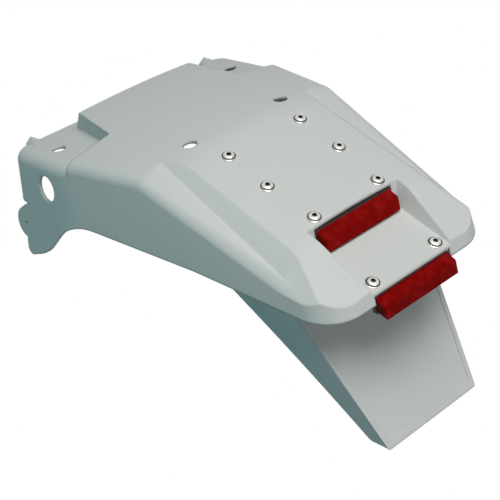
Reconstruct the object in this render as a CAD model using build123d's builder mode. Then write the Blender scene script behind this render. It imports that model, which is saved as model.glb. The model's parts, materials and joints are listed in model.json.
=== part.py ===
"""Motorcycle rear fender: moulded shell, lower flap, two LED lamp bars and their fasteners."""

import os
from math import asin, atan2, cos, degrees, hypot, radians, sin, sqrt, tan

from build123d import *

# Shell: plan outline at plan_z, with walls that flare outwards below it
wall = 3.0
plan_z = -10.0
front_y = 51.0
front_half_width = 137.0
taper_start_y = -40.0
taper_radius = 200.0
tail_y = -333.0
tail_half_width = 87.0
front_corner_radius = 20.0
tail_corner_radius = 25.0
side_flare = 8.0
rim_radius = 12.0

# Shell: side profile of the deck and of the shoulders beside the raised panel
deck_front_z = 14.58
deck_slope = 3.46
crease_y = -133.0
shoulder_slope = 24.0
crease_radius = 24.0
roof_radius = 912.0
crown_half_width = 60.0
crown_edge_radius = 200.0
deck_roll = 6.2

# Raised centre panel
panel_bend_y = -158.5
panel_slope = 22.0
panel_bend_radius = 100.0
panel_dip_y = -297.0
panel_dip_slope = 38.0
panel_dip_radius = 40.0
panel_half_width = 79.0
panel_edge_drop = 3.4
panel_bevel = 43.0
panel_edge_radius = 5.0
panel_front_y = -100.0

# Front ledge with its two mounting pads
ledge_z = -9.5
ledge_foot_y = 30.0
ledge_top_y = 13.0
pad_inner_front = 68.5
pad_inner_rear = 81.0
pad_rear_y = -50.0
horn_inner = 106.0
horn_outer = 119.0
horn_apex_x = 113.0
horn_rear_y = 28.0
horn_apex_y = 46.0
horn_front_y = 48.0
horn_height = 5.3
horn_root = 2.5
front_lip_depth = 18.0
front_opening_half_width = 122.0
front_opening_radius = 14.0

# Tail pocket
pocket_front_y = -284.0
pocket_half_width = 48.5
pocket_draft = 20.0
pocket_rise = 60.0

# Lower edge of the side walls
lobe_y = 35.0
lobe_z = -109.0
lobe_radius = 7.5
lobe_slope = 18.0
knee_y = 3.0
knee_radius = 60.0
skirt_root_y = -45.7
skirt_root_z = -63.4
skirt_root_radius = 68.0
skirt_mid_y = -200.0
skirt_mid_z = -82.0
skirt_mid_radius = 300.0
skirt_tail_slope = 9.8

# Flat lug at each front corner, in the plane of the side wall: round ear over the lobe
lug_root_y = 20.0
lug_top_z = -60.0
lug_notch_y = 34.0
lug_slit = 2.0
ear_y = 39.0
ear_z = -83.0
ear_radius = 15.7
ear_dimple_diameter = 3.0
ear_dimple_depth = 1.2

# Holes in the shell
pad_hole_spacing = 221.0
pad_hole_y = 0.0
panel_hole_spacing = 112.3
panel_hole_y = -142.0
mount_hole_diameter = 13.8
side_hole_diameter = 26.0
side_hole_y = -12.0
side_hole_z = -36.5

# Fasteners: flanged button screws, washers and lock nuts
screw_diameter = 6.0
screw_clearance = 0.4
flange_diameter = 13.6
flange_height = 1.4
head_diameter = 10.6
head_height = 3.4
socket_across = 4.0
socket_depth = 2.2
head_taper = 38.0
fastener_sides = 12
washer_diameter = 12.0
washer_height = 1.6
nut_across = 10.0
nut_height = 6.0
thread_end = 2.0
thread_gap = 0.05
front_row_y = -181.0
middle_row_y = -228.0
front_row_spacing = 88.0
upper_lamp_row_y = -277.3
upper_lamp_row_spacing = 78.0
lower_lamp_row_y = -337.0
lower_lamp_row_z = -93.0

# Lower flap: a tapered channel under the shell, with a tongue and flange up to the panel
flap_wall = 3.0
flap_bottom_y = -346.2
flap_bottom_z = -251.5
flap_foot_drop = 3.5
flap_lean = 26.4
flap_height = 175.2
flap_bottom_half_width = 58.4
flap_top_half_width = 89.8
flap_bottom_depth = 18.0
flap_top_depth = 113.0
flap_front_bow = 5.0
flap_corner_radius = 9.0
flap_rim = 5.0
flap_recess = 0.8
tongue_half_width = 56.0
flap_flange_thickness = 3.0
flap_flange_front = 6.5
seat_gap = 0.1

# Lamp bar, measured back from its screw row and down from the seat surface
lamp_back = 7.2
lamp_depth = 11.2
lamp_top_drop = 9.4
lamp_ridge_run = 10.0
lamp_ridge_drop = 14.4
lamp_height = 28.2
lamp_half_width = 45.5
lamp_corner_cut = 1.8
lens_chamfer = 1.4
lens_wall = 2.0
gasket_thickness = 1.5
gasket_margin = 1.4
housing_wall = 2.0
housing_flange = 3.0
housing_box_half_width = 29.0
housing_box_front = 11.0
housing_box_drop = 9.0
housing_flange_front = 9.0
gland_diameter = 8.0
gland_bore = 4.5
gland_length = 7.0
board_thickness = 1.6
board_margin = 1.2
led_count = 8
led_size = 4.0
led_height = 1.6
lamp_gap = 0.4
slot_reach = 7.0
slot_front = 2.0

# Room beyond the shell that the blocks and cutters reach into
beyond = 40.0
block_top = 40.0
block_bottom = -170.0
slab_depth = 300.0


def slope_drop(run, angle):
    """Height lost over a run at a slope in degrees, or the sideways lean of a wall over its height."""
    return run * tan(radians(angle))


def deck_z(y):
    """Height of the flat front deck."""
    return deck_front_z - slope_drop(front_y - y, deck_slope)


def panel_z(y):
    """Height of the straight, sloping part of the raised panel."""
    return deck_z(panel_bend_y) - slope_drop(panel_bend_y - y, panel_slope)


def pocket_z(y):
    """Height of the pocket floor, which runs parallel to the panel."""
    return lower_lamp_row_z - slope_drop(lower_lamp_row_y - y, panel_slope)


def plan_block(inset):
    """Block inside the flared side walls, pulled in by inset."""
    flare_run = slope_drop(plan_z - block_bottom, side_flare)
    with BuildPart() as block:
        with BuildSketch(Plane.XY.offset(block_bottom)) as outline:
            with BuildLine():
                Polyline(
                    (front_half_width, front_y),
                    (front_half_width, taper_start_y),
                    (tail_half_width, tail_y),
                    (-tail_half_width, tail_y),
                    (-front_half_width, taper_start_y),
                    (-front_half_width, front_y),
                    close=True,
                )
            make_face()
            fillet(outline.vertices().group_by(Axis.Y)[1], taper_radius)
            fillet(outline.vertices().group_by(Axis.Y)[-1], front_corner_radius)
            fillet(outline.vertices().group_by(Axis.Y)[0], tail_corner_radius)
            offset(amount=flare_run - inset / cos(radians(side_flare)), kind=Kind.INTERSECTION)
        extrude(amount=block_top - block_bottom, taper=side_flare)
    return block.part


def slope_plane(y, z, slope):
    """Plane across the fender whose normal runs forward along a slope; its local Y points down."""
    along = (0, cos(radians(slope)), sin(radians(slope)))
    return Plane((0, y, z), x_dir=(1, 0, 0), z_dir=along)


def crowned_slab(y, slope, inset, roll=0):
    """Long block lowered by inset: crowned in the middle, with straight sides that roll down further."""
    z = deck_z(y) if y > panel_dip_y else panel_z(y)
    reach = front_half_width + beyond
    crown = asin(crown_half_width / roof_radius)
    tilt = crown + radians(roll)
    half = (roof_radius - inset) * sin(crown)
    drop = roof_radius - (roof_radius - inset) * cos(crown)
    turn = crown_edge_radius - inset
    middle = (crown + tilt) / 2
    out = half + turn * (sin(tilt) - sin(crown))
    low = drop + turn * (cos(crown) - cos(tilt))
    edge = low + (reach - out) * tan(tilt)
    with BuildPart() as slab:
        with BuildSketch(slope_plane(y, z, slope)):
            with BuildLine():
                ThreePointArc((-half, drop), (0, inset), (half, drop))
                if roll:
                    for side in (1, -1):
                        ThreePointArc(
                            (side * half, drop),
                            (
                                side * (half + turn * (sin(middle) - sin(crown))),
                                drop + turn * (cos(crown) - cos(middle)),
                            ),
                            (side * out, low),
                        )
                Polyline(
                    (out, low),
                    (reach, edge),
                    (reach, slab_depth),
                    (-reach, slab_depth),
                    (-reach, edge),
                    (-out, low),
                )
            make_face()
        extrude(amount=front_y - tail_y, both=True)
    return slab.part


def ridge(block, y):
    """Edges across the top of a block where the slopes ahead of y and behind it meet."""
    tops = block.faces().filter_by(lambda face: face.normal_at().Z > 0.5)
    ahead = tops.filter_by(lambda face: face.center().Y > y)
    behind = tops.filter_by(lambda face: face.center().Y < y)
    return ahead.edges() & behind.edges()


def roof_block(inset):
    """Block under the crowned deck and the shoulders behind its crease, lowered by inset."""
    with BuildPart() as block:
        add(crowned_slab(crease_y, deck_slope, inset, deck_roll))
        add(crowned_slab(crease_y, shoulder_slope, inset), mode=Mode.INTERSECT)
        fillet(ridge(block, crease_y), crease_radius - inset)
    return block.part


def panel_block(inset):
    """Block under the raised centre panel: it leaves the deck later than the shoulders do."""
    band_side = slope_drop(slab_depth, 90 - panel_bevel)
    band_half = panel_half_width - inset / sin(radians(panel_bevel))
    with BuildPart() as block:
        add(crowned_slab(crease_y, deck_slope, inset, deck_roll))
        add(crowned_slab(panel_bend_y, panel_slope, inset), mode=Mode.INTERSECT)
        add(crowned_slab(panel_dip_y, panel_dip_slope, inset), mode=Mode.INTERSECT)
        fillet(ridge(block, panel_bend_y), panel_bend_radius - inset)
        fillet(ridge(block, panel_dip_y), panel_dip_radius - inset)
        with BuildSketch(slope_plane(panel_bend_y, deck_z(panel_bend_y), panel_slope)):
            with BuildLine():
                Polyline(
                    (band_half - slope_drop(beyond, 90 - panel_bevel), panel_edge_drop - beyond),
                    (band_half + band_side, panel_edge_drop + slab_depth),
                    (-band_half - band_side, panel_edge_drop + slab_depth),
                    (-band_half + slope_drop(beyond, 90 - panel_bevel), panel_edge_drop - beyond),
                    close=True,
                )
            make_face()
        extrude(amount=front_y - tail_y, both=True, mode=Mode.INTERSECT)
        tops = block.faces().filter_by(lambda face: face.normal_at().Z > sin(radians(panel_bevel)))
        sides = block.faces().filter_by(lambda face: abs(face.normal_at().X) > 0.5)
        fillet(tops.edges() & sides.edges(), panel_edge_radius - inset)
        with BuildSketch(Plane.XY.offset(block_bottom)):
            with Locations((0, panel_front_y)):
                Rectangle(4 * front_half_width, front_y - tail_y + beyond, align=(Align.CENTER, Align.MAX))
        extrude(amount=block_top - block_bottom, mode=Mode.INTERSECT)
    return block.part


def pocket_tool(grow):
    """Cutter for the tail pocket: floor along the slope, side walls that lean and fan outwards."""
    front_z = pocket_z(pocket_front_y)
    with BuildPart() as tool:
        with BuildSketch(slope_plane(pocket_front_y, front_z, panel_slope)):
            with BuildLine():
                Polyline(
                    (pocket_half_width + grow, grow),
                    (pocket_half_width + grow + slope_drop(pocket_rise, pocket_draft), grow - pocket_rise),
                    (-pocket_half_width - grow - slope_drop(pocket_rise, pocket_draft), grow - pocket_rise),
                    (-pocket_half_width - grow, grow),
                    close=True,
                )
            make_face()
        extrude(amount=tail_y - front_y, both=True)
        with BuildSketch(Plane.XZ.offset(-pocket_front_y - grow)):
            Rectangle(4 * front_half_width, 4 * slab_depth)
        extrude(amount=front_y - tail_y, mode=Mode.INTERSECT)
    return tool.part


def pad_block(inset):
    """Body under the ledge and the pads, with the same rounded rim as the deck."""
    with BuildPart() as block:
        add(plan_block(inset))
        with BuildSketch(Plane.XY.offset(ledge_z - inset)):
            Rectangle(4 * front_half_width, 4 * (front_y - tail_y))
        extrude(amount=2 * block_top, mode=Mode.SUBTRACT)
        fillet(block.faces().sort_by(Axis.Z)[-1].edges(), rim_radius - inset)
        with BuildSketch(Plane.XY.offset(block_bottom)):
            with Locations((0, pad_rear_y - rim_radius)):
                Rectangle(4 * front_half_width, 4 * (front_y - tail_y), align=(Align.CENTER, Align.MIN))
        extrude(amount=block_top - block_bottom, mode=Mode.INTERSECT)
    return block.part


def front_horn():
    """Small wedge at the front of the right-hand pad, rising forwards to a point."""
    with BuildPart() as horn:
        with BuildSketch(Plane.YZ):
            with BuildLine():
                Polyline(
                    (horn_rear_y, ledge_z),
                    (horn_apex_y, ledge_z + horn_height),
                    (horn_front_y, ledge_z - horn_root),
                    (horn_rear_y, ledge_z - horn_root),
                    close=True,
                )
            make_face()
        extrude(amount=front_half_width)
        with BuildSketch(Plane.XZ):
            with BuildLine():
                Polyline(
                    (horn_inner, ledge_z - horn_root),
                    (horn_inner, ledge_z),
                    (horn_apex_x, ledge_z + horn_height),
                    (horn_outer, ledge_z),
                    (horn_outer, ledge_z - horn_root),
                    close=True,
                )
            make_face()
        extrude(amount=2 * front_y, both=True, mode=Mode.INTERSECT)
    return horn.part


def ledge_tool(grow):
    """Cutter for the front ledge and the two pads that reach back beside the deck."""
    reach = front_half_width + beyond
    front_end = front_y + beyond
    lean = (ledge_foot_y - ledge_top_y) / (deck_z(ledge_top_y) - ledge_z)
    foot_z = ledge_z - 2 * rim_radius
    with BuildPart() as tool:
        with BuildSketch(Plane.YZ):
            with BuildLine():
                Polyline(
                    (ledge_foot_y, foot_z),
                    (ledge_foot_y, ledge_z),
                    (ledge_foot_y - lean * (block_top - ledge_z), block_top),
                    (front_end, block_top),
                    (front_end, foot_z),
                    close=True,
                )
            make_face()
            if grow:
                offset(amount=grow, kind=Kind.INTERSECTION)
        extrude(amount=reach, both=True)
        with BuildSketch(Plane.XY.offset(foot_z - grow)):
            for side in (1, -1):
                with BuildLine():
                    Polyline(
                        (side * pad_inner_front, ledge_foot_y),
                        (side * pad_inner_rear, pad_rear_y),
                        (side * reach, pad_rear_y),
                        (side * reach, ledge_foot_y),
                        close=True,
                    )
                make_face()
            if grow:
                offset(amount=grow, kind=Kind.INTERSECTION)
        extrude(amount=block_top - foot_z)
    return tool.part


def fender_form(inset):
    """Solid form of the fender, pulled in by inset."""
    with BuildPart() as form:
        add(plan_block(inset))
        add(roof_block(inset), mode=Mode.INTERSECT)
        roof_faces = form.faces().filter_by(lambda face: face.normal_at().Z > 0.5)
        wall_faces = form.faces().filter_by(lambda face: 0 < face.normal_at().Z < 0.5)
        rim = roof_faces.edges() & wall_faces.edges()
        fillet(rim, rim_radius - inset)
        add(panel_block(inset) & plan_block(inset))
        add(pocket_tool(inset), mode=Mode.SUBTRACT)
        add(ledge_tool(inset), mode=Mode.SUBTRACT)
        add(pad_block(inset))
    return form.part


def row_places(y, z, spacing, crowned):
    """Places for a pair of screws on a sloping surface, square to it, with local Z outwards."""
    radius = roof_radius if crowned else 1e6
    half = spacing / 2
    tilt = degrees(asin(half / radius))
    drop = radius - sqrt(radius**2 - half**2)
    surface = Location((0, y, z), (panel_slope, 0, 0))
    return [surface * Location((side * half, 0, -drop), (0, side * tilt, 0)) for side in (1, -1)]


upper_row_z = panel_z(upper_lamp_row_y)
flap_places = row_places(front_row_y, panel_z(front_row_y), front_row_spacing, True)
flap_places += row_places(middle_row_y, panel_z(middle_row_y), front_row_spacing, True)
upper_places = row_places(upper_lamp_row_y, upper_row_z, upper_lamp_row_spacing, True)
lower_places = row_places(lower_lamp_row_y, lower_lamp_row_z, upper_lamp_row_spacing, False)


def lamp_slot(row_y, row_z, crowned):
    """Opening in the shell through which a lamp looks out, below the skin it is screwed to."""
    top = -wall / cos(radians(panel_slope))
    bottom = -lamp_height + slope_drop(lamp_depth - lamp_back, panel_slope) - gasket_margin - lamp_gap
    rear = -lamp_back - slot_reach
    front = slot_front
    with BuildPart() as slot:
        with BuildSketch(Plane.YZ):
            with BuildLine():
                Polyline(
                    (row_y + rear, row_z + top + slope_drop(rear, panel_slope)),
                    (row_y + front, row_z + top + slope_drop(front, panel_slope)),
                    (row_y + front, row_z + bottom + slope_drop(front, panel_slope)),
                    (row_y + rear, row_z + bottom + slope_drop(rear, panel_slope)),
                    close=True,
                )
            make_face()
        extrude(amount=lamp_half_width + gasket_margin + lamp_gap, both=True)
        if crowned:
            add(crowned_slab(panel_bend_y, panel_slope, wall), mode=Mode.INTERSECT)
    return slot.part


def lobe_line_z(y):
    """Height of the nearly level lower edge that runs back from the lobe."""
    foot_y = lobe_y - lobe_radius * sin(radians(lobe_slope))
    foot_z = lobe_z - lobe_radius * cos(radians(lobe_slope))
    return foot_z + slope_drop(foot_y - y, lobe_slope)


def side_lug():
    """Flat lug in the plane of the right-hand side wall: a round ear with the standing lobe below it."""
    lean = cos(radians(side_flare))
    wall_plane = Plane(
        (front_half_width, 0, plan_z),
        x_dir=(0, 1, 0),
        z_dir=(cos(radians(side_flare)), 0, sin(radians(side_flare))),
    )
    top = (lug_top_z - plan_z) / lean
    ear = (ear_z - plan_z) / lean
    lobe = (lobe_z - plan_z) / lean
    ear_side_y = ear_y + ear_radius * cos(radians(60))
    slit_y = front_y - front_corner_radius - wall
    with BuildPart() as lug:
        with BuildSketch(wall_plane):
            with BuildLine():
                Polyline(
                    (lug_root_y, top + wall),
                    (slit_y, top + wall),
                    (slit_y, top - lug_slit),
                    (lug_notch_y, top - lug_slit),
                    (ear_side_y, ear + ear_radius * sin(radians(60))),
                    (ear_y, ear),
                    (lobe_y + lobe_radius, lobe),
                    (lobe_y, lobe),
                    (lobe_y, lobe - lobe_radius),
                    (lug_root_y, (lobe_line_z(lug_root_y) - plan_z) / lean),
                    close=True,
                )
            make_face()
            with Locations((ear_y, ear)):
                Circle(ear_radius)
            with Locations((lobe_y, lobe)):
                Circle(lobe_radius)
        extrude(amount=-wall)
        with BuildSketch(wall_plane):
            with Locations((ear_y, ear)):
                Circle(ear_dimple_diameter / 2)
        extrude(amount=-ear_dimple_depth, mode=Mode.SUBTRACT)
    return lug.part


with BuildPart() as screw_hole:
    with BuildSketch():
        RegularPolygon(screw_diameter / 2 + screw_clearance, fastener_sides)
    extrude(amount=8 * wall, both=True)

# Side view of what is kept: cut straight at the lugs, then the rising skirt
skirt_end_y = tail_y - beyond
skirt_end_z = skirt_mid_z - slope_drop(skirt_mid_y - skirt_end_y, skirt_tail_slope)

with BuildPart() as fender_shell:
    add(fender_form(0))
    add(fender_form(wall), mode=Mode.SUBTRACT)
    with BuildSketch(Plane.YZ) as kept:
        with BuildLine():
            Polyline(
                (front_y + beyond, lug_top_z),
                (lug_root_y, lug_top_z),
                (lug_root_y, lobe_line_z(lug_root_y)),
                (knee_y, lobe_line_z(knee_y)),
                (skirt_root_y, skirt_root_z),
                (skirt_mid_y, skirt_mid_z),
                (skirt_end_y, skirt_end_z),
                (skirt_end_y, block_top),
                (front_y + beyond, block_top),
                close=True,
            )
        make_face()
        fillet(kept.vertices().sort_by_distance((knee_y, lobe_line_z(knee_y), 0))[0], knee_radius)
        fillet(kept.vertices().sort_by_distance((skirt_root_y, skirt_root_z, 0))[0], skirt_root_radius)
        fillet(kept.vertices().sort_by_distance((skirt_mid_y, skirt_mid_z, 0))[0], skirt_mid_radius)
    extrude(amount=front_half_width + beyond, both=True, mode=Mode.INTERSECT)
    with BuildSketch(Plane.XZ.offset(-front_y - beyond)) as opening:
        with Locations((0, ledge_z - front_lip_depth)):
            Rectangle(2 * front_opening_half_width, 4 * beyond, align=(Align.CENTER, Align.MAX))
        fillet(opening.vertices(), front_opening_radius)
    extrude(amount=2 * beyond, mode=Mode.SUBTRACT)
    for piece in (side_lug(), front_horn()):
        add(piece)
        add(piece.mirror(Plane.YZ))
    with BuildSketch(Plane.XY.offset(block_top)):
        with Locations((pad_hole_spacing / 2, pad_hole_y), (-pad_hole_spacing / 2, pad_hole_y)):
            Circle(mount_hole_diameter / 2)
        with Locations((panel_hole_spacing / 2, panel_hole_y), (-panel_hole_spacing / 2, panel_hole_y)):
            Circle(mount_hole_diameter / 2)
    extrude(amount=-block_top - beyond, mode=Mode.SUBTRACT)
    for side in (1, -1):
        side_hole_x = front_half_width + slope_drop(plan_z - side_hole_z, side_flare)
        outwards = (side * cos(radians(side_flare)), 0, sin(radians(side_flare)))
        with BuildSketch(Plane((side * side_hole_x, side_hole_y, side_hole_z), x_dir=(0, 1, 0), z_dir=outwards)):
            Circle(side_hole_diameter / 2)
        extrude(amount=2 * wall, both=True, mode=Mode.SUBTRACT)
    add(lamp_slot(upper_lamp_row_y, upper_row_z, True), mode=Mode.SUBTRACT)
    add(lamp_slot(lower_lamp_row_y, lower_lamp_row_z, False), mode=Mode.SUBTRACT)
    for place in flap_places + upper_places + lower_places:
        add(place * screw_hole.part, mode=Mode.SUBTRACT)


def skin(depth, thickness, behind_y, ahead_y, half_width):
    """Plate that follows the underside of the raised panel at a depth below its top."""
    with BuildPart() as plate:
        add(crowned_slab(panel_bend_y, panel_slope, depth))
        add(crowned_slab(panel_bend_y, panel_slope, depth + thickness), mode=Mode.SUBTRACT)
        with BuildSketch(Plane.XY.offset(-slab_depth)):
            with Locations((0, ahead_y)):
                Rectangle(2 * half_width, ahead_y - behind_y, align=(Align.CENTER, Align.MAX))
        extrude(amount=2 * slab_depth, mode=Mode.INTERSECT)
    return plate.part


def flap_form(inset):
    """Tapered channel of the flap as a solid, pulled in by inset on its rear face, sides and bottom."""
    reach = beyond if inset else 0
    height = flap_height + reach
    top_z = flap_bottom_z + height
    taper = (flap_top_half_width - flap_bottom_half_width) / flap_height
    top_half = flap_bottom_half_width + taper * height
    foot_z = flap_bottom_z - flap_foot_drop
    foot_half = flap_bottom_half_width - taper * flap_foot_drop
    rear_y = flap_bottom_y + inset / cos(radians(flap_lean))
    top_rear_y = rear_y + slope_drop(height, flap_lean)
    foot_y = flap_bottom_y + flap_bottom_depth + reach
    head_y = flap_bottom_y + slope_drop(height, flap_lean) + flap_top_depth + reach
    with BuildPart() as form:
        with BuildSketch(Plane.XZ) as across:
            with BuildLine():
                Polyline(
                    (foot_half, foot_z),
                    (top_half, top_z),
                    (-top_half, top_z),
                    (-foot_half, foot_z),
                    close=True,
                )
            make_face()
            if inset:
                offset(amount=-inset, kind=Kind.INTERSECTION)
            fillet(across.vertices().group_by(Axis.Y)[0], flap_corner_radius - inset)
        extrude(amount=2 * slab_depth, both=True)
        with BuildSketch(Plane.YZ):
            with BuildLine():
                ThreePointArc(
                    (foot_y, foot_z + inset),
                    (
                        (foot_y + head_y) / 2 - flap_front_bow * cos(radians(45)),
                        (foot_z + top_z) / 2 + flap_front_bow * sin(radians(45)),
                    ),
                    (head_y, top_z),
                )
                Polyline(
                    (head_y, top_z),
                    (top_rear_y, top_z),
                    (rear_y + slope_drop(inset, flap_lean), flap_bottom_z + inset),
                    (foot_y, foot_z + inset),
                )
            make_face()
        extrude(amount=front_half_width, both=True, mode=Mode.INTERSECT)
    return form.part


rear_plane = Plane(
    (0, flap_bottom_y, flap_bottom_z),
    x_dir=(1, 0, 0),
    z_dir=(0, -cos(radians(flap_lean)), sin(radians(flap_lean))),
)
flap_face_length = flap_height / cos(radians(flap_lean))
underside = wall + seat_gap
tongue_meet = (panel_z(flap_bottom_y) - underside / cos(radians(panel_slope)) - flap_bottom_z) / (
    1 / tan(radians(flap_lean)) - tan(radians(panel_slope))
)
flange_rear_y = flap_bottom_y + tongue_meet

with BuildPart() as lower_flap:
    add(flap_form(0))
    add(flap_form(flap_wall), mode=Mode.SUBTRACT)
    with BuildSketch(rear_plane) as recess:
        with BuildLine():
            Polyline(
                (flap_bottom_half_width, 0),
                (flap_top_half_width, flap_face_length),
                (-flap_top_half_width, flap_face_length),
                (-flap_bottom_half_width, 0),
                close=True,
            )
        make_face()
        offset(amount=-flap_rim, kind=Kind.INTERSECTION)
        fillet(recess.vertices(), flap_corner_radius)
    extrude(amount=-flap_recess, mode=Mode.SUBTRACT)
    with BuildSketch(rear_plane):
        with Locations((0, flap_face_length - 2 * flap_rim)):
            Rectangle(2 * tongue_half_width, slab_depth / 2, align=(Align.CENTER, Align.MIN))
    extrude(amount=-flap_wall)
    add(crowned_slab(panel_bend_y, panel_slope, underside), mode=Mode.INTERSECT)
    add(skin(underside, flap_flange_thickness, flange_rear_y, front_row_y + flap_flange_front, tongue_half_width))
    for place in flap_places:
        add(place * screw_hole.part, mode=Mode.SUBTRACT)

# Lamp bar: lens, gasket and housing in the lamp's own frame, with its screw row at the origin
lamp_bottom_front = -lamp_height + slope_drop(lamp_depth, panel_slope)
gasket_y = -lamp_back
plate_y = gasket_y + gasket_thickness
lamp_middle_z = (-lamp_top_drop + lamp_bottom_front) / 2
lamp_face_height = -lamp_top_drop - lamp_bottom_front
plate_width = 2 * (lamp_half_width + gasket_margin)
plate_height = lamp_face_height + 2 * gasket_margin
window_width = 2 * (lamp_half_width - lens_wall)
window_height = lamp_face_height - 2 * lens_wall

with BuildPart() as lens:
    with BuildSketch(Plane.YZ):
        with BuildLine():
            Polyline(
                (-lamp_back, -lamp_top_drop),
                (-lamp_back - lamp_ridge_run, -lamp_ridge_drop),
                (-lamp_back - lamp_depth, -lamp_height),
                (-lamp_back, lamp_bottom_front),
                close=True,
            )
        make_face()
    extrude(amount=lamp_half_width, both=True)
    lens_front = lens.faces().sort_by(Axis.Y)[-1]
    chamfer(lens.edges() - lens_front.edges(), lens_chamfer)
    offset(amount=-lens_wall, openings=lens.faces().sort_by(Axis.Y)[-1])

with BuildPart() as gasket:
    with BuildSketch(Plane.XZ.offset(-gasket_y)) as seal:
        with Locations((0, lamp_middle_z)):
            Rectangle(plate_width, plate_height)
        chamfer(seal.vertices(), lamp_corner_cut)
        with Locations((0, lamp_middle_z)):
            Rectangle(window_width, window_height, mode=Mode.SUBTRACT)
    extrude(amount=-gasket_thickness)

with BuildPart() as board:
    with BuildSketch(Plane.XZ.offset(-plate_y)):
        with Locations((0, lamp_middle_z)):
            Rectangle(window_width - 2 * board_margin, window_height - 2 * board_margin)
    extrude(amount=board_thickness)

led_pitch = (window_width - 2 * board_margin) / led_count
with BuildPart() as leds:
    with BuildSketch(Plane.XZ.offset(-plate_y + board_thickness)):
        with Locations((0, lamp_middle_z)):
            with GridLocations(led_pitch, led_size, led_count, 1):
                Rectangle(led_size, led_size)
    extrude(amount=led_height)


def lamp_housing(flange):
    """Housing behind the lens: back plate, driver box, gland and the flange that is screwed up."""
    box_top = -housing_box_drop
    box_bottom = lamp_bottom_front
    with BuildPart() as housing:
        with BuildSketch(Plane.XZ.offset(-plate_y)) as back:
            with Locations((0, lamp_middle_z)):
                Rectangle(plate_width, plate_height)
            chamfer(back.vertices(), lamp_corner_cut)
        extrude(amount=-housing_wall)
        add(flange)
        with BuildSketch(Plane.XZ.offset(-plate_y - housing_wall)):
            with Locations((0, (box_top + box_bottom) / 2)):
                Rectangle(2 * housing_box_half_width, box_top - box_bottom)
        extrude(amount=-(housing_box_front - plate_y - housing_wall))
        with BuildSketch(Plane.XZ.offset(-housing_box_front)):
            with Locations((0, (box_top + box_bottom) / 2)):
                RegularPolygon(gland_diameter / 2, 6, major_radius=False)
        extrude(amount=-gland_length)
        with BuildSketch(Plane.XZ.offset(-plate_y)):
            with Locations((0, (box_top + box_bottom) / 2)):
                Rectangle(
                    2 * (housing_box_half_width - housing_wall), box_top - box_bottom - 2 * housing_wall
                )
        extrude(amount=-(housing_box_front - plate_y - housing_wall), mode=Mode.SUBTRACT)
        with BuildSketch(Plane.XZ.offset(-plate_y)):
            with Locations((0, (box_top + box_bottom) / 2)):
                Circle(gland_bore / 2)
        extrude(amount=-(housing_box_front - plate_y + gland_length), mode=Mode.SUBTRACT)
    return housing.part


upper_seat = Location((0, upper_lamp_row_y, upper_row_z))
lower_seat = Location((0, lower_lamp_row_y, lower_lamp_row_z))
upper_flange = skin(
    underside,
    housing_flange,
    upper_lamp_row_y + plate_y,
    upper_lamp_row_y + housing_flange_front,
    lamp_half_width + gasket_margin,
)
with BuildPart() as lower_flange:
    with BuildSketch(Plane.YZ):
        with BuildLine():
            Polyline(
                (plate_y, -underside / cos(radians(panel_slope)) + slope_drop(plate_y, panel_slope)),
                (
                    housing_flange_front,
                    -underside / cos(radians(panel_slope)) + slope_drop(housing_flange_front, panel_slope),
                ),
                (
                    housing_flange_front,
                    -(underside + housing_flange) / cos(radians(panel_slope))
                    + slope_drop(housing_flange_front, panel_slope),
                ),
                (
                    plate_y,
                    -(underside + housing_flange) / cos(radians(panel_slope))
                    + slope_drop(plate_y, panel_slope),
                ),
                close=True,
            )
        make_face()
    extrude(amount=lamp_half_width + gasket_margin, both=True)

with BuildPart() as upper_housing:
    with Locations(upper_seat):
        add(lamp_housing(upper_seat.inverse() * upper_flange))
    for place in upper_places:
        add(place * screw_hole.part, mode=Mode.SUBTRACT)

with BuildPart() as lower_housing:
    with Locations(lower_seat):
        add(lamp_housing(lower_flange.part))
    for place in lower_places:
        add(place * screw_hole.part, mode=Mode.SUBTRACT)

# Fasteners: each screw passes the shell, the clamped flange, a washer and a nut
clamp = wall + seat_gap + flap_flange_thickness + seat_gap
shank = clamp + washer_height + nut_height + thread_end

with BuildPart() as screw:
    with BuildSketch():
        RegularPolygon(flange_diameter / 2, fastener_sides)
    extrude(amount=flange_height)
    with BuildSketch(Plane.XY.offset(flange_height)):
        RegularPolygon(head_diameter / 2, fastener_sides)
    extrude(amount=head_height - flange_height, taper=head_taper)
    with BuildSketch():
        RegularPolygon(screw_diameter / 2, fastener_sides)
    extrude(amount=-shank)
    with BuildSketch(Plane.XY.offset(head_height)):
        RegularPolygon(socket_across / 2, 6, major_radius=False)
    extrude(amount=-socket_depth, mode=Mode.SUBTRACT)

with BuildPart() as washer:
    with BuildSketch(Plane.XY.offset(-clamp)):
        RegularPolygon(washer_diameter / 2, fastener_sides)
        RegularPolygon(screw_diameter / 2 + screw_clearance / 2, fastener_sides, mode=Mode.SUBTRACT)
    extrude(amount=-washer_height)

with BuildPart() as nut:
    with BuildSketch(Plane.XY.offset(-clamp - washer_height)):
        RegularPolygon(nut_across / 2, 6, major_radius=False)
        RegularPolygon(screw_diameter / 2 + thread_gap, fastener_sides, mode=Mode.SUBTRACT)
    extrude(amount=-nut_height)


def group(piece, places):
    """Copies of one fastener at its places, as separate solids of one node."""
    return Compound(children=[place * piece for place in places])


# Whole fender turned tail-up so that it stands on its front lobes and the end of the flap
flap_foot_y = flap_bottom_y + flap_bottom_depth
flap_foot_z = flap_bottom_z - flap_foot_drop
span = hypot(lobe_y - flap_foot_y, lobe_z - flap_foot_z)
pitch = degrees(atan2(lobe_z - flap_foot_z, lobe_y - flap_foot_y) - asin(lobe_radius / span))
stand_turn = Location((0, 0, 0), (-pitch, 0, 0))
floor_drop = lobe_z * cos(radians(pitch)) - lobe_y * sin(radians(pitch)) - lobe_radius
front_end = (stand_turn * fender_shell.part).bounding_box().max.Y
rear_end = (stand_turn * lower_flap.part).bounding_box().min.Y
stand = Location((0, -(front_end + rear_end) / 2, -floor_drop)) * stand_turn

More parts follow.
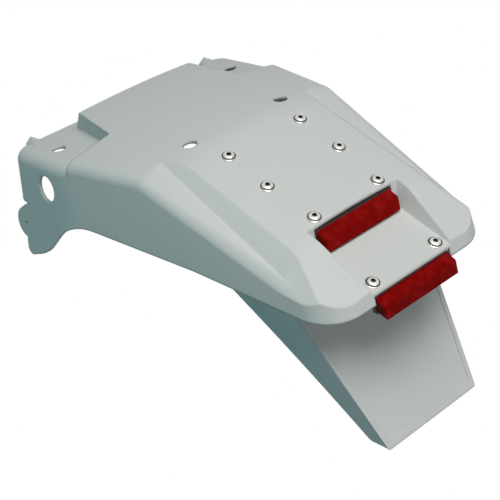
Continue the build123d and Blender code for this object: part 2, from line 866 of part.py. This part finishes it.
pieces = {
    "fender_shell": fender_shell.part,
    "lower_flap": lower_flap.part,
    "flap_screws": group(screw.part, flap_places),
    "flap_washers": group(washer.part, flap_places),
    "flap_nuts": group(nut.part, flap_places),
}
for lamp, housing, seat, places in (
    ("upper_lamp", upper_housing, upper_seat, upper_places),
    ("lower_lamp", lower_housing, lower_seat, lower_places),
):
    pieces[f"{lamp}_lens"] = seat * lens.part
    pieces[f"{lamp}_gasket"] = seat * gasket.part
    pieces[f"{lamp}_board"] = seat * board.part
    pieces[f"{lamp}_leds"] = seat * leds.part
    pieces[f"{lamp}_housing"] = housing.part
    pieces[f"{lamp}_screws"] = group(screw.part, places)
    pieces[f"{lamp}_washers"] = group(washer.part, places)
    pieces[f"{lamp}_nuts"] = group(nut.part, places)

os.makedirs("parts", exist_ok=True)
for name, piece in pieces.items():
    standing = stand * piece
    standing.label = name
    export_step(standing, f"parts/{name}.step")
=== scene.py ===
# %% [markdown]
# A pale moulded tail for an off-road motorcycle: a wide shell with a raised centre panel, two red lamp bars, a
# tapered flap and eight flanged screws. The measured shapes come from the CAD model. This script dresses them:
# it smooths the moulded skins, makes round screws and gives every piece a material built from nodes.

import json
from math import atan2, cos, pi, radians, sin

import bmesh
import bpy
import numpy as np
from mathutils import Matrix, Vector


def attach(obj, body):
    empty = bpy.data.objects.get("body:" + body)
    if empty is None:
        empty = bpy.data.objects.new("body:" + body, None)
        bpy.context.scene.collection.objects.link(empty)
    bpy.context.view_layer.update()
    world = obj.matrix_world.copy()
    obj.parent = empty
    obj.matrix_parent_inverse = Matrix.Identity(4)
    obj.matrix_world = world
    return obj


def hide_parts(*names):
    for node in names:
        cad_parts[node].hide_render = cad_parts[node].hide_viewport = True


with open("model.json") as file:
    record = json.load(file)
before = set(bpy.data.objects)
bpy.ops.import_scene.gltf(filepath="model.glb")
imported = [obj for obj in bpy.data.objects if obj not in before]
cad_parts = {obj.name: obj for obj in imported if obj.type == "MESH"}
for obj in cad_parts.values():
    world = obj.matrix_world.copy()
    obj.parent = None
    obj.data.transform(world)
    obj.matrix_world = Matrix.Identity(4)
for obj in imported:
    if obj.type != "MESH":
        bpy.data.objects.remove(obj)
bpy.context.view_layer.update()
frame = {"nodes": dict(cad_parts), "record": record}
nodes = frame["nodes"]
record = frame["record"]
scene = bpy.context.scene

# %% [markdown]
# The tail stands on its two front lobes and the end of its flap. The camera was solved in the shell's own frame,
# with the mounting pads level, from pairs of screws and edges that mirror each other. The record says where the
# pad holes are and which way they point, so the same turn and lift that made the shell stand is worked out from
# them here, and the camera follows the shell.

# %% Camera at the photograph's angle
PAD_MIDDLE = Vector((0, 0, -0.011))  # between the pad holes, in the shell's own frame
PHOTO_PIXELS = 500
FOCAL_PIXELS = 1211.18
SENSOR_MM = 36.0

pads = next(mount for mount in record["mounts"] if mount["name"] == "pad_bolts")
pad_axis = Vector(pads["axis"])
stand = Matrix.Rotation(-atan2(pad_axis.y, pad_axis.z), 4, "X")
stand = Matrix.Translation(Vector(pads["pos_m"]) - stand @ PAD_MIDDLE) @ stand

right = Vector((0.73971323, -0.64799688, -0.18145078))
down = Vector((-0.42966965, -0.24729923, -0.86846248))
ahead = Vector((0.51788834, 0.72037708, -0.46135511))
eye = Vector((-0.62183, -0.98696, 0.41208))

axes = Matrix((right, -down, -ahead)).transposed().to_4x4()
camera_data = bpy.data.cameras.new("photo_camera")
camera_data.sensor_width = SENSOR_MM
camera_data.lens = FOCAL_PIXELS / PHOTO_PIXELS * SENSOR_MM
camera = bpy.data.objects.new("photo_camera", camera_data)
camera.matrix_world = stand @ Matrix.Translation(eye) @ axes
scene.collection.objects.link(camera)
scene.camera = camera
print("camera at", [round(v, 3) for v in camera.matrix_world.translation])

# %% [markdown]
# A product picture on white needs a floor that looks white and still takes part in the light. Camera, glossy and
# transmission rays see plain white. All other rays see a dull blue-green sheet, and the light it throws back gives
# the walls of the tail the cool shade that they have in the photograph.

# %% White floor
FLOOR_REACH = 6
FLOOR_TINT = (0.13, 0.27, 0.28, 1)
WHITE = (1, 1, 1, 1)


def link_seen_rays(tree, mix):
    """Let camera, glossy and transmission rays choose the second input of a mix."""
    path = tree.nodes.new("ShaderNodeLightPath")
    first = tree.nodes.new("ShaderNodeMath")
    first.operation = "MAXIMUM"
    second = tree.nodes.new("ShaderNodeMath")
    second.operation = "MAXIMUM"
    tree.links.new(path.outputs["Is Camera Ray"], first.inputs[0])
    tree.links.new(path.outputs["Is Glossy Ray"], first.inputs[1])
    tree.links.new(first.outputs[0], second.inputs[0])
    tree.links.new(path.outputs["Is Transmission Ray"], second.inputs[1])
    tree.links.new(second.outputs[0], mix.inputs["Fac"])


floor_material = bpy.data.materials.new("white_floor")
floor_material.use_nodes = True
tree = floor_material.node_tree
tree.nodes.clear()
floor_out = tree.nodes.new("ShaderNodeOutputMaterial")
floor_mix = tree.nodes.new("ShaderNodeMixShader")
floor_matt = tree.nodes.new("ShaderNodeBsdfDiffuse")
floor_matt.inputs["Color"].default_value = FLOOR_TINT
floor_white = tree.nodes.new("ShaderNodeEmission")
floor_white.inputs["Color"].default_value = WHITE
floor_white.inputs["Strength"].default_value = 1.0
link_seen_rays(tree, floor_mix)
tree.links.new(floor_matt.outputs[0], floor_mix.inputs[1])
tree.links.new(floor_white.outputs[0], floor_mix.inputs[2])
tree.links.new(floor_mix.outputs[0], floor_out.inputs["Surface"])

floor_mesh = bpy.data.meshes.new("floor")
corners = [(x * FLOOR_REACH, y * FLOOR_REACH, 0) for x, y in ((-1, -1), (1, -1), (1, 1), (-1, 1))]
floor_mesh.from_pydata(corners, [], [(0, 1, 2, 3)])
floor_mesh.materials.append(floor_material)
floor = bpy.data.objects.new("floor", floor_mesh)
scene.collection.objects.link(floor)
print("floor placed")

# %% [markdown]
# The photograph is lit softly from above, a little from the left and the rear. The slopes that face up are as bright
# as the deck, and the upright wall below them is in shade. A large softbox makes that light. A weaker one, low at
# the rear, reaches the tail's edge and the flap, and a low blue-green one tints the shaded wall.

# %% Soft studio light
def soft_lamp(name, place, target, size, power, colour):
    """A square area lamp that faces a target."""
    data = bpy.data.lights.new(name, "AREA")
    data.shape = "SQUARE"
    data.size = size
    data.energy = power
    data.color = colour
    lamp = bpy.data.objects.new(name, data)
    lamp.location = place
    lamp.rotation_euler = (Vector(target) - Vector(place)).to_track_quat("-Z", "Y").to_euler()
    scene.collection.objects.link(lamp)


middle = (0.0, 0.0, 0.1)
soft_lamp("top_softbox", (-0.17, -0.28, 1.5), middle, 0.9, 17.2, (1, 1, 0.985))
soft_lamp("rear_softbox", (-0.12, -1.4, 0.3), middle, 0.8, 4.2, (1, 0.985, 0.98))
soft_lamp("left_fill", (-1.2, 0.5, 0.25), middle, 0.8, 1.6, (0.05, 0.85, 0.95))

world = bpy.data.worlds.new("studio")
scene.world = world
world.use_nodes = True
tree = world.node_tree
tree.nodes.clear()
world_out = tree.nodes.new("ShaderNodeOutputWorld")
world_mix = tree.nodes.new("ShaderNodeMixShader")
world_glow = tree.nodes.new("ShaderNodeBackground")
world_glow.inputs["Color"].default_value = (0.62, 0.93, 0.95, 1)
world_glow.inputs["Strength"].default_value = 0.08
world_white = tree.nodes.new("ShaderNodeBackground")
world_white.inputs["Color"].default_value = WHITE
world_white.inputs["Strength"].default_value = 1.0
link_seen_rays(tree, world_mix)
tree.links.new(world_glow.outputs[0], world_mix.inputs[1])
tree.links.new(world_white.outputs[0], world_mix.inputs[2])
tree.links.new(world_mix.outputs[0], world_out.inputs["Surface"])
scene.view_settings.view_transform = "Standard"

# %% [markdown]
# No moulded, rolled or pressed surface is perfectly even: its colour drifts a little, its gloss changes in soft
# patches, and it has a fine grain. Most materials here need that, so it is one shader node group with named
# sockets. Each material sets its own colour, spread, gloss and grain.

# %% Shared surface group
def new_group(name, inputs, outputs):
    """A shader node group with named sockets, and its input and output nodes."""
    group = bpy.data.node_groups.new(name, "ShaderNodeTree")
    for socket, kind in inputs:
        group.interface.new_socket(name=socket, in_out="INPUT", socket_type=kind)
    for socket, kind in outputs:
        group.interface.new_socket(name=socket, in_out="OUTPUT", socket_type=kind)
    return group, group.nodes.new("NodeGroupInput"), group.nodes.new("NodeGroupOutput")


def math_node(tree, operation, first, second):
    """A Math node; each operand is a socket or a number."""
    node = tree.nodes.new("ShaderNodeMath")
    node.operation = operation
    for socket, value in zip(node.inputs, (first, second)):
        if isinstance(value, (int, float)):
            socket.default_value = value
        else:
            tree.links.new(value, socket)
    return node.outputs[0]


surface, given, result = new_group(
    "uneven_surface",
    [
        ("Colour", "NodeSocketColor"),
        ("Colour Spread", "NodeSocketFloat"),
        ("Rough Low", "NodeSocketFloat"),
        ("Rough High", "NodeSocketFloat"),
        ("Patch Scale", "NodeSocketFloat"),
        ("Grain Scale", "NodeSocketFloat"),
    ],
    [("Colour", "NodeSocketColor"), ("Roughness", "NodeSocketFloat"), ("Height", "NodeSocketFloat")],
)
place = surface.nodes.new("ShaderNodeTexCoord")
patches = surface.nodes.new("ShaderNodeTexNoise")
patches.inputs["Detail"].default_value = 4.0
surface.links.new(place.outputs["Object"], patches.inputs["Vector"])
surface.links.new(given.outputs["Patch Scale"], patches.inputs["Scale"])
grain = surface.nodes.new("ShaderNodeTexNoise")
grain.inputs["Detail"].default_value = 2.0
surface.links.new(place.outputs["Object"], grain.inputs["Vector"])
surface.links.new(given.outputs["Grain Scale"], grain.inputs["Scale"])
centred = math_node(surface, "SUBTRACT", patches.outputs["Fac"], 0.5)
drift = math_node(surface, "ADD", math_node(surface, "MULTIPLY", centred, given.outputs["Colour Spread"]), 1.0)
tinted = surface.nodes.new("ShaderNodeVectorMath")
tinted.operation = "SCALE"
surface.links.new(given.outputs["Colour"], tinted.inputs[0])
surface.links.new(drift, tinted.inputs["Scale"])
gloss = surface.nodes.new("ShaderNodeMapRange")
gloss.inputs["From Min"].default_value = 0.3
gloss.inputs["From Max"].default_value = 0.7
surface.links.new(patches.outputs["Fac"], gloss.inputs["Value"])
surface.links.new(given.outputs["Rough Low"], gloss.inputs["To Min"])
surface.links.new(given.outputs["Rough High"], gloss.inputs["To Max"])
surface.links.new(tinted.outputs[0], result.inputs["Colour"])
surface.links.new(gloss.outputs[0], result.inputs["Roughness"])
surface.links.new(grain.outputs["Fac"], result.inputs["Height"])
print("group:", surface.name, [item.name for item in surface.interface.items_tree])

# %% [markdown]
# Fine rubbing marks run over plastic and steel that has been handled. A noise that is stretched along one
# direction gives thin streaks, and only its peaks are kept. The group puts out a mask, which a material adds to
# its roughness.

# %% Rubbing marks group
rubbing, given, result = new_group(
    "rubbing_marks",
    [("Scale", "NodeSocketFloat"), ("Amount", "NodeSocketFloat")],
    [("Mask", "NodeSocketFloat")],
)
place = rubbing.nodes.new("ShaderNodeTexCoord")
stretch = rubbing.nodes.new("ShaderNodeMapping")
stretch.inputs["Rotation"].default_value = (0.3, 0.2, 0.9)
stretch.inputs["Scale"].default_value = (1.0, 14.0, 1.0)
rubbing.links.new(place.outputs["Object"], stretch.inputs["Vector"])
streaks = rubbing.nodes.new("ShaderNodeTexNoise")
streaks.inputs["Detail"].default_value = 3.0
rubbing.links.new(stretch.outputs[0], streaks.inputs["Vector"])
rubbing.links.new(given.outputs["Scale"], streaks.inputs["Scale"])
peaks = rubbing.nodes.new("ShaderNodeMapRange")
peaks.inputs["From Min"].default_value = 0.58
peaks.inputs["From Max"].default_value = 0.75
rubbing.links.new(streaks.outputs["Fac"], peaks.inputs["Value"])
rubbing.links.new(math_node(rubbing, "MULTIPLY", peaks.outputs[0], given.outputs["Amount"]), result.inputs["Mask"])
print("group:", rubbing.name)


# %% [markdown]
# One helper joins the groups to a Principled shader. A fixed number, such as the metallic value of steel, is set on
# the shader itself. The Bevel node bends the shading at sharp edges, as the small radius of a mould does.

# %% Material helper
PATCH_SCALE = 22.0
MARK_SCALE = 26.0
MARK_AMOUNT = 0.08
GRAIN_STRENGTH = 0.5
EDGE_SAMPLES = 8


def make_material(name, colour, spread, rough, grain_scale, depth, metallic=0.0, specular=0.5, round_edge=0.0):
    """A material with uneven colour and gloss, fine grain and rubbing marks."""
    material = bpy.data.materials.new(name)
    material.use_nodes = True
    tree = material.node_tree
    shader = tree.nodes["Principled BSDF"]
    shader.inputs["Metallic"].default_value = metallic
    shader.inputs["Specular IOR Level"].default_value = specular
    uneven = tree.nodes.new("ShaderNodeGroup")
    uneven.node_tree = surface
    uneven.inputs["Colour"].default_value = (*colour, 1)
    uneven.inputs["Colour Spread"].default_value = spread
    uneven.inputs["Rough Low"].default_value = rough[0]
    uneven.inputs["Rough High"].default_value = rough[1]
    uneven.inputs["Patch Scale"].default_value = PATCH_SCALE
    uneven.inputs["Grain Scale"].default_value = grain_scale
    marks = tree.nodes.new("ShaderNodeGroup")
    marks.node_tree = rubbing
    marks.inputs["Scale"].default_value = MARK_SCALE
    marks.inputs["Amount"].default_value = MARK_AMOUNT
    bump = tree.nodes.new("ShaderNodeBump")
    bump.inputs["Strength"].default_value = GRAIN_STRENGTH
    bump.inputs["Distance"].default_value = depth
    tree.links.new(uneven.outputs["Colour"], shader.inputs["Base Color"])
    tree.links.new(
        math_node(tree, "ADD", uneven.outputs["Roughness"], marks.outputs["Mask"]), shader.inputs["Roughness"]
    )
    tree.links.new(uneven.outputs["Height"], bump.inputs["Height"])
    if round_edge:
        edge = tree.nodes.new("ShaderNodeBevel")
        edge.samples = EDGE_SAMPLES
        edge.inputs["Radius"].default_value = round_edge
        tree.links.new(edge.outputs[0], bump.inputs["Normal"])
    tree.links.new(bump.outputs[0], shader.inputs["Normal"])
    return material


shell_plastic = make_material(
    "shell_plastic", (0.61, 0.62, 0.605), 0.05, (0.42, 0.54), 900, 0.00004, specular=0.15, round_edge=0.0025
)
flap_plastic = make_material(
    "flap_plastic", (0.60, 0.605, 0.60), 0.08, (0.44, 0.56), 900, 0.00004, specular=0.15, round_edge=0.0016
)
seal_rubber = make_material("seal_rubber", (0.012, 0.012, 0.012), 0.3, (0.55, 0.7), 1500, 0.00006)
black_plastic = make_material("black_plastic", (0.018, 0.018, 0.019), 0.3, (0.42, 0.6), 1300, 0.00006)
board_green = make_material("board_laminate", (0.02, 0.11, 0.045), 0.5, (0.25, 0.4), 2200, 0.00003)
led_body = make_material("led_body", (0.80, 0.72, 0.42), 0.2, (0.15, 0.3), 2600, 0.00002)
screw_steel = make_material("screw_steel", (0.62, 0.615, 0.59), 0.6, (0.16, 0.3), 2400, 0.00002, metallic=1.0)
# A dark steel for painted shade in the screws' sockets and grooves, where shade falls.
painted_shade_steel = make_material("painted_shade_steel", (0.07, 0.069, 0.066), 0.5, (0.35, 0.5), 2400, 0.00002, metallic=1.0)
plated_steel = make_material("plated_steel", (0.50, 0.50, 0.47), 0.35, (0.3, 0.45), 2000, 0.00002, metallic=1.0)
print("materials:", [m.name for m in bpy.data.materials])

# %% [markdown]
# The lens is clear red plastic with upright flutes on its inside, which spread the light of the LEDs. From outside
# it looks deep red and mottled, with faint stripes. A Wave texture along X gives the stripes and the height for the
# bump, and a noise gives the mottling. The white surroundings would wash the red out, so the shader's reflection is
# kept low. A thin clear coat only on the noise's peaks leaves small glints.

# %% Red lens material
FLUTE_SCALE = 90.0
MOTTLE_SCALE = 110.0
DEEP_RED = (0.11, 0.0008, 0.0008, 1)
BRIGHT_RED = (0.44, 0.004, 0.003, 1)

red_lens = bpy.data.materials.new("red_lens")
red_lens.use_nodes = True
tree = red_lens.node_tree
shader = tree.nodes["Principled BSDF"]
shader.inputs["Specular IOR Level"].default_value = 0.02
place = tree.nodes.new("ShaderNodeTexCoord")
flutes = tree.nodes.new("ShaderNodeTexWave")
flutes.bands_direction = "X"
flutes.inputs["Scale"].default_value = FLUTE_SCALE
flutes.inputs["Distortion"].default_value = 0.6
tree.links.new(place.outputs["Object"], flutes.inputs["Vector"])
cloud = tree.nodes.new("ShaderNodeTexNoise")
cloud.inputs["Scale"].default_value = MOTTLE_SCALE
tree.links.new(place.outputs["Object"], cloud.inputs["Vector"])
stripe = tree.nodes.new("ShaderNodeMix")
stripe.data_type = "RGBA"
stripe.inputs["A"].default_value = DEEP_RED
stripe.inputs["B"].default_value = BRIGHT_RED
faint = math_node(tree, "ADD", math_node(tree, "MULTIPLY", flutes.outputs["Fac"], 0.3), 0.45)
tree.links.new(math_node(tree, "MULTIPLY", faint, cloud.outputs["Fac"]), stripe.inputs["Factor"])
tree.links.new(stripe.outputs["Result"], shader.inputs["Base Color"])
haze = tree.nodes.new("ShaderNodeMapRange")
haze.inputs["To Min"].default_value = 0.14
haze.inputs["To Max"].default_value = 0.28
tree.links.new(cloud.outputs["Fac"], haze.inputs["Value"])
tree.links.new(haze.outputs[0], shader.inputs["Roughness"])
glint = tree.nodes.new("ShaderNodeMapRange")
glint.inputs["From Min"].default_value = 0.5
glint.inputs["From Max"].default_value = 0.75
glint.inputs["To Max"].default_value = 0.12
tree.links.new(cloud.outputs["Fac"], glint.inputs["Value"])
tree.links.new(glint.outputs[0], shader.inputs["Coat Weight"])
ripple = tree.nodes.new("ShaderNodeBump")
ripple.inputs["Strength"].default_value = 0.07
ripple.inputs["Distance"].default_value = 0.0003
tree.links.new(flutes.outputs["Fac"], ripple.inputs["Height"])
tree.links.new(ripple.outputs[0], shader.inputs["Normal"])
print("material:", red_lens.name)

# %% [markdown]
# The CAD meshes are loose triangles with flat shading, which shows facets on the rounded rims. The shell and the
# flap are single mouldings, so each gets a copy whose doubles are merged. The copy is shaded smooth and keeps its
# real edges sharp by angle. It replaces the CAD node in the picture.

# %% Smooth copies of the moulded skins
KEEP_SHARP = radians(24)


def smooth_copy(node, name, material):
    """A merged, smooth-shaded copy of a CAD node that takes its place."""
    skin = bmesh.new()
    skin.from_mesh(nodes[node].data)
    bmesh.ops.remove_doubles(skin, verts=skin.verts, dist=1e-6)
    mesh = bpy.data.meshes.new(name)
    skin.to_mesh(mesh)
    skin.free()
    old_normals = mesh.attributes.get("custom_normal")
    if old_normals:
        mesh.attributes.remove(old_normals)
    mesh.shade_smooth()
    mesh.set_sharp_from_angle(angle=KEEP_SHARP)
    mesh.materials.clear()
    mesh.materials.append(material)
    piece = bpy.data.objects.new(name, mesh)
    scene.collection.objects.link(piece)
    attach(piece, "root")
    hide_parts(node)
    print(name, len(mesh.vertices), "vertices,", len(mesh.polygons), "faces")


smooth_copy("fender_shell", "shell_skin", shell_plastic)
smooth_copy("lower_flap", "flap_skin", flap_plastic)

# %% [markdown]
# The screws are flanged button heads with a hexagon socket. One template is built from rings of points, from the
# end of the shank, round the flange and dome, down into the socket. The socket's rings are hexagons: each point's
# distance from the middle follows the hexagon's side. The faces of the socket and of the groove round the dome are
# marked in an attribute and take a darker steel later: painted shade, for the shade that falls in those hollows.

# %% Screw template
MM = 0.001
HEAD_HEIGHT = 3.4 * MM
STEPS = 48
# Rows of the groove and the socket, whose faces get painted shade.
GROOVE_ROWS = (6, 7, 8)
SOCKET_ROW = 13
HEAD_SHARP = radians(40)


def ring(bm, radius, height, sides=0):
    """A closed ring of points: round, or a polygon whose inner radius is given."""
    points = []
    for k in range(STEPS):
        turn = 2 * pi * k / STEPS
        reach = radius
        if sides:
            part = 2 * pi / sides
            reach = radius / cos((turn + part / 2) % part - part / 2)
        points.append(bm.verts.new((reach * cos(turn), reach * sin(turn), height)))
    return points


# Radius and height in mm, and the number of sides (0 for round), from the shank's end to the socket's bottom.
profile = [
    (2.4, -15.8, 0),
    (3.0, -15.2, 0),
    (3.0, 0.0, 0),
    (6.5, 0.0, 0),
    (6.8, 0.25, 0),
    (6.8, 1.0, 0),
    (6.4, 1.35, 0),
    (5.6, 1.4, 0),
    (5.3, 1.6, 0),
    (5.15, 2.2, 0),
    (4.7, 2.75, 0),
    (3.95, 3.2, 0),
    (3.0, 3.4, 0),
    (2.2, 3.4, 6),
    (2.0, 3.2, 6),
    (2.0, 1.3, 6),
    (0.4, 1.1, 6),
]
bm = bmesh.new()
rings = [ring(bm, radius * MM, height * MM, sides) for radius, height, sides in profile]
# Faces marked dark get painted shade: the groove round the dome and the socket.
dark = []
for row, (low, high) in enumerate(zip(rings, rings[1:])):
    for k in range(STEPS):
        bm.faces.new((low[k], low[(k + 1) % STEPS], high[(k + 1) % STEPS], high[k]))
        dark.append(row in GROOVE_ROWS or row >= SOCKET_ROW)
bm.faces.new(list(reversed(rings[0])))
bm.faces.new(rings[-1])
dark += [False, True]
template_mesh = bpy.data.meshes.new("screw_template")
bm.to_mesh(template_mesh)
bm.free()
template_mesh.attributes.new("dark", "BOOLEAN", "FACE").data.foreach_set("value", dark)
template_mesh.shade_smooth()
template_mesh.set_sharp_from_angle(angle=HEAD_SHARP)
template = bpy.data.objects.new("screw_template", template_mesh)
scene.collection.objects.link(template)
print("screw template:", len(template_mesh.polygons), "faces")


# %% [markdown]
# Each screw of a CAD node is an island of faces. The spread of its surface is largest along the screw, which gives
# the axis, and the end with the wider points is the head. So the round screws sit exactly where the CAD ones do. The
# points are walked in the mesh's own order, so the screws come out in the same order on every run.

# %% Find the screws in the CAD model
def screw_places(node):
    """Seat and axis of each screw in a CAD node."""
    bm = bmesh.new()
    bm.from_mesh(nodes[node].data)
    bmesh.ops.remove_doubles(bm, verts=bm.verts, dist=1e-6)
    places = []
    seen = set()
    for start in bm.verts:
        if start in seen:
            continue
        seen.add(start)
        island = [start]
        for vertex in island:
            for edge in vertex.link_edges:
                neighbour = edge.other_vert(vertex)
                if neighbour not in seen:
                    seen.add(neighbour)
                    island.append(neighbour)
        faces = list(dict.fromkeys(face for vertex in island for face in vertex.link_faces))
        areas = np.array([face.calc_area() for face in faces])
        centres = np.array([face.calc_center_median() for face in faces])
        middle_point = (centres * areas[:, None]).sum(0) / areas.sum()
        offsets = centres - middle_point
        axis = np.linalg.eigh((offsets * areas[:, None]).T @ offsets)[1][:, -1]
        points = np.array([vertex.co for vertex in island]) - middle_point
        along = points @ axis
        across = np.linalg.norm(points - along[:, None] * axis, axis=1)
        if across[along > 0].max() < across[along < 0].max():
            axis, along = -axis, -along
        places.append((middle_point + axis * (along.max() - HEAD_HEIGHT), axis))
    bm.free()
    return places


screws = {node: screw_places(node) for node in ("flap_screws", "upper_lamp_screws", "lower_lamp_screws")}
for node, places in screws.items():
    print(node, [[round(float(v), 4) for v in seat] for seat, axis in places])

# %% [markdown]
# Geometry Nodes put the template at those places. The tree takes points that carry their axis, turns each copy to
# its axis, and then turns it about itself by a random angle with a fixed seed, because nobody lines up sockets. The
# copies are realized and get the bright steel, and on the marked faces the dark one, which is painted shade in the
# socket and the groove.

# %% Screws by Geometry Nodes
screw_tree = bpy.data.node_groups.new("screws_on_points", "GeometryNodeTree")
for socket, kind in (
    ("Geometry", "NodeSocketGeometry"),
    ("Screw", "NodeSocketObject"),
    ("Largest Turn", "NodeSocketFloat"),
    ("Seed", "NodeSocketInt"),
    ("Material", "NodeSocketMaterial"),
    ("Dark Material", "NodeSocketMaterial"),
):
    screw_tree.interface.new_socket(name=socket, in_out="INPUT", socket_type=kind)
screw_tree.interface.new_socket(name="Geometry", in_out="OUTPUT", socket_type="NodeSocketGeometry")
add_node = screw_tree.nodes.new
join = screw_tree.links.new
given = add_node("NodeGroupInput")
result = add_node("NodeGroupOutput")
info = add_node("GeometryNodeObjectInfo")
axis_of_point = add_node("GeometryNodeInputNamedAttribute")
axis_of_point.data_type = "FLOAT_VECTOR"
axis_of_point.inputs["Name"].default_value = "axis"
align = add_node("FunctionNodeAlignRotationToVector")
align.axis = "Z"
chance = add_node("FunctionNodeRandomValue")
chance.data_type = "FLOAT"
about = add_node("FunctionNodeAxisAngleToRotation")
about.inputs["Axis"].default_value = (0, 0, 1)
turn = add_node("FunctionNodeRotateRotation")
turn.rotation_space = "LOCAL"
copies = add_node("GeometryNodeInstanceOnPoints")
realize = add_node("GeometryNodeRealizeInstances")
paint = add_node("GeometryNodeSetMaterial")
dark_faces = add_node("GeometryNodeInputNamedAttribute")
dark_faces.data_type = "BOOLEAN"
dark_faces.inputs["Name"].default_value = "dark"
paint_dark = add_node("GeometryNodeSetMaterial")
join(given.outputs["Screw"], info.inputs["Object"])
join(given.outputs["Geometry"], copies.inputs["Points"])
join(info.outputs["Geometry"], copies.inputs["Instance"])
join(axis_of_point.outputs["Attribute"], align.inputs["Vector"])
chance_max = next(s for s in chance.inputs if s.name == "Max" and s.enabled)
join(given.outputs["Largest Turn"], chance_max)
join(given.outputs["Seed"], chance.inputs["Seed"])
join(next(s for s in chance.outputs if s.enabled), about.inputs["Angle"])
join(align.outputs["Rotation"], turn.inputs["Rotation"])
join(about.outputs["Rotation"], turn.inputs["Rotate By"])
join(turn.outputs["Rotation"], copies.inputs["Rotation"])
join(copies.outputs["Instances"], realize.inputs["Geometry"])
join(realize.outputs["Geometry"], paint.inputs["Geometry"])
join(given.outputs["Material"], paint.inputs["Material"])
join(paint.outputs["Geometry"], paint_dark.inputs["Geometry"])
# The marked faces get the dark steel: painted shade in the socket and the groove.
join(dark_faces.outputs["Attribute"], paint_dark.inputs["Selection"])
join(given.outputs["Dark Material"], paint_dark.inputs["Material"])
join(paint_dark.outputs["Geometry"], result.inputs["Geometry"])
sockets = {
    item.name: item.identifier for item in screw_tree.interface.items_tree if item.in_out == "INPUT"
}
print("tree inputs:", list(sockets))

# %% [markdown]
# A modifier runs the tree on a mesh that holds only the points. Its inputs are set before it is first evaluated. The
# result is kept as a plain mesh, and the object with the modifier is removed.

# %% Place the screws
SOCKET_TURN = pi / 3

for seed, (node, places) in enumerate(screws.items()):
    points = bpy.data.meshes.new(node + "_points")
    points.from_pydata([seat for seat, axis in places], [], [])
    along = points.attributes.new("axis", "FLOAT_VECTOR", "POINT")
    along.data.foreach_set("vector", np.array([axis for seat, axis in places]).ravel())
    holder = bpy.data.objects.new(node + "_points", points)
    modifier = holder.modifiers.new("screws", "NODES")
    modifier.node_group = screw_tree
    modifier[sockets["Screw"]] = template
    modifier[sockets["Largest Turn"]] = SOCKET_TURN
    modifier[sockets["Seed"]] = seed
    modifier[sockets["Material"]] = screw_steel
    # The dark steel paints shade into the sockets and the grooves.
    modifier[sockets["Dark Material"]] = painted_shade_steel
    scene.collection.objects.link(holder)
    bpy.context.view_layer.update()
    ready = holder.evaluated_get(bpy.context.evaluated_depsgraph_get())
    mesh = bpy.data.meshes.new_from_object(ready)
    bpy.data.objects.remove(holder)
    piece = bpy.data.objects.new(node + "_round", mesh)
    scene.collection.objects.link(piece)
    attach(piece, "root")
    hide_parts(node)
    print(piece.name, len(mesh.polygons), "faces")
bpy.data.objects.remove(template)

# %% [markdown]
# The other pieces are shown as the CAD has them, with their own materials: the red lenses, the black edging and
# housings, the boards with their LEDs, and the washers and nuts under the shell.

# %% Materials of the CAD pieces
finishes = {
    "lens": red_lens,
    "gasket": seal_rubber,
    "housing": black_plastic,
    "board": board_green,
    "leds": led_body,
    "washers": plated_steel,
    "nuts": plated_steel,
}
for name, piece in nodes.items():
    kind = name.rsplit("_", 1)[-1]
    if kind in finishes:
        piece.data.materials.clear()
        piece.data.materials.append(finishes[kind])
print("finished CAD pieces:", sum(name.rsplit("_", 1)[-1] in finishes for name in nodes))
